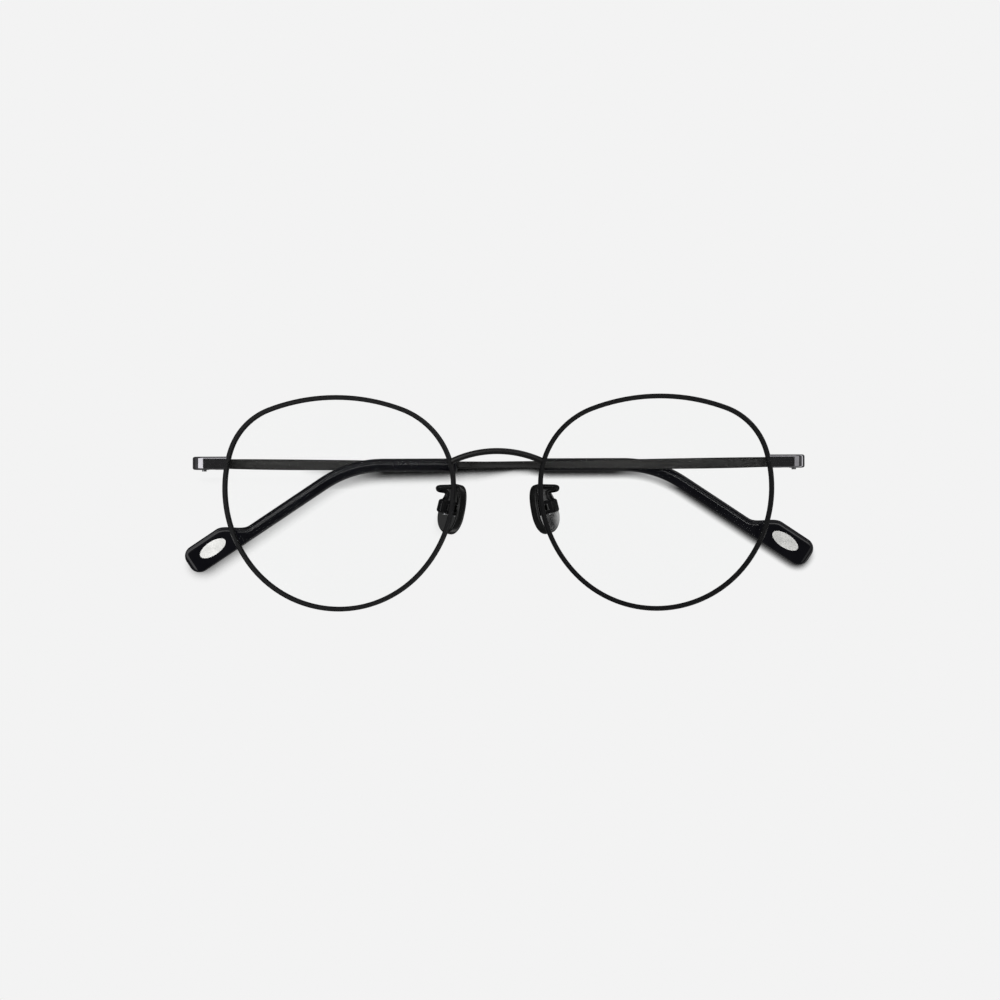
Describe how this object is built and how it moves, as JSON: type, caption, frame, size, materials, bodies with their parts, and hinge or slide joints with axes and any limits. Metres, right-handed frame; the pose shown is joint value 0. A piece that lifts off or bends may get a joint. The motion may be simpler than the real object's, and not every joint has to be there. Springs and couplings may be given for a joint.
{
  "type": "round wire eyeglasses",
  "caption": "Round wire eyeglasses, folded, with split metal rims, clear lenses, an arched bridge, rocking nose pads and hinged temples with black acetate tips.",
  "frame": {"origin": "middle of the bounding box's underside: the glasses lie folded on their temples on Z = 0", "axes": "+X across the front to the right of someone who looks at it from the front, +Y towards the brow, +Z out of the front, straight up from the surface it lies on. Left in every name is -X and right is +X, so a left piece is on the wearer's right"},
  "size_m": [0.1406, 0.0478, 0.0161],
  "materials": {
    "rim_metal": "satin black lacquer on nickel-copper wire",
    "endpiece_metal": "satin gunmetal plating",
    "temple_metal": "matt dark grey",
    "screw_steel": "turned steel",
    "tip_acetate": "polished black acetate",
    "inlay_metal": "polished plate, unmarked",
    "pad_plastic": "hard black plastic",
    "pad_plate": "dark mirror plating, unmarked",
    "lens_clear": "clear uncoated plastic"
  },
  "bodies": {
    "front": {"bridge": "rim_metal", "left_endpiece": "endpiece_metal", "left_front_hinge": "endpiece_metal", "left_hinge_screw": "screw_steel", "left_lens": "lens_clear", "left_lower_closing_block": "rim_metal", "left_pad_arm": "rim_metal", "left_pad_box": "rim_metal", "left_pad_screw": "screw_steel", "left_rim": "rim_metal", "left_rim_screw": "screw_steel", "left_upper_closing_block": "rim_metal", "right_endpiece": "endpiece_metal", "right_front_hinge": "endpiece_metal", "right_hinge_screw": "screw_steel", "right_lens": "lens_clear", "right_lower_closing_block": "rim_metal", "right_pad_arm": "rim_metal", "right_pad_box": "rim_metal", "right_pad_screw": "screw_steel", "right_rim": "rim_metal", "right_rim_screw": "screw_steel", "right_upper_closing_block": "rim_metal"},
    "left_temple": {"left_temple_bar": "temple_metal", "left_rear_hinge": "temple_metal", "left_temple_tip": "tip_acetate", "left_tip_inlay": "inlay_metal"},
    "left_pad": {"left_nose_pad": "pad_plastic", "left_pad_stem": "pad_plate"},
    "right_temple": {"right_temple_bar": "temple_metal", "right_rear_hinge": "temple_metal", "right_temple_tip": "tip_acetate", "right_tip_inlay": "inlay_metal"},
    "right_pad": {"right_nose_pad": "pad_plastic", "right_pad_stem": "pad_plate"}
  },
  "joints": [
    {"name": "left_temple_fold", "type": "hinge", "parent": "front", "child": "left_temple", "pos_m": [-0.06597, 0.009, 0.0021], "axis": [0, 1, 0], "range_deg": [0, 90.3]},
    {"name": "right_temple_fold", "type": "hinge", "parent": "front", "child": "right_temple", "pos_m": [0.06557, 0.009, 0.006], "axis": [0, -1, 0], "range_deg": [0, 93]},
    {"name": "left_pad_rock", "type": "hinge", "parent": "front", "child": "left_pad", "pos_m": [-0.01162, -0.00092, 0.00622], "axis": [0.2418, 0.9703, 0.0072], "range_deg": [-10, 10]},
    {"name": "right_pad_rock", "type": "hinge", "parent": "front", "child": "right_pad", "pos_m": [0.01106, -0.00092, 0.0069], "axis": [-0.2418, 0.9703, -0.0072], "range_deg": [-10, 10]}
  ]
}
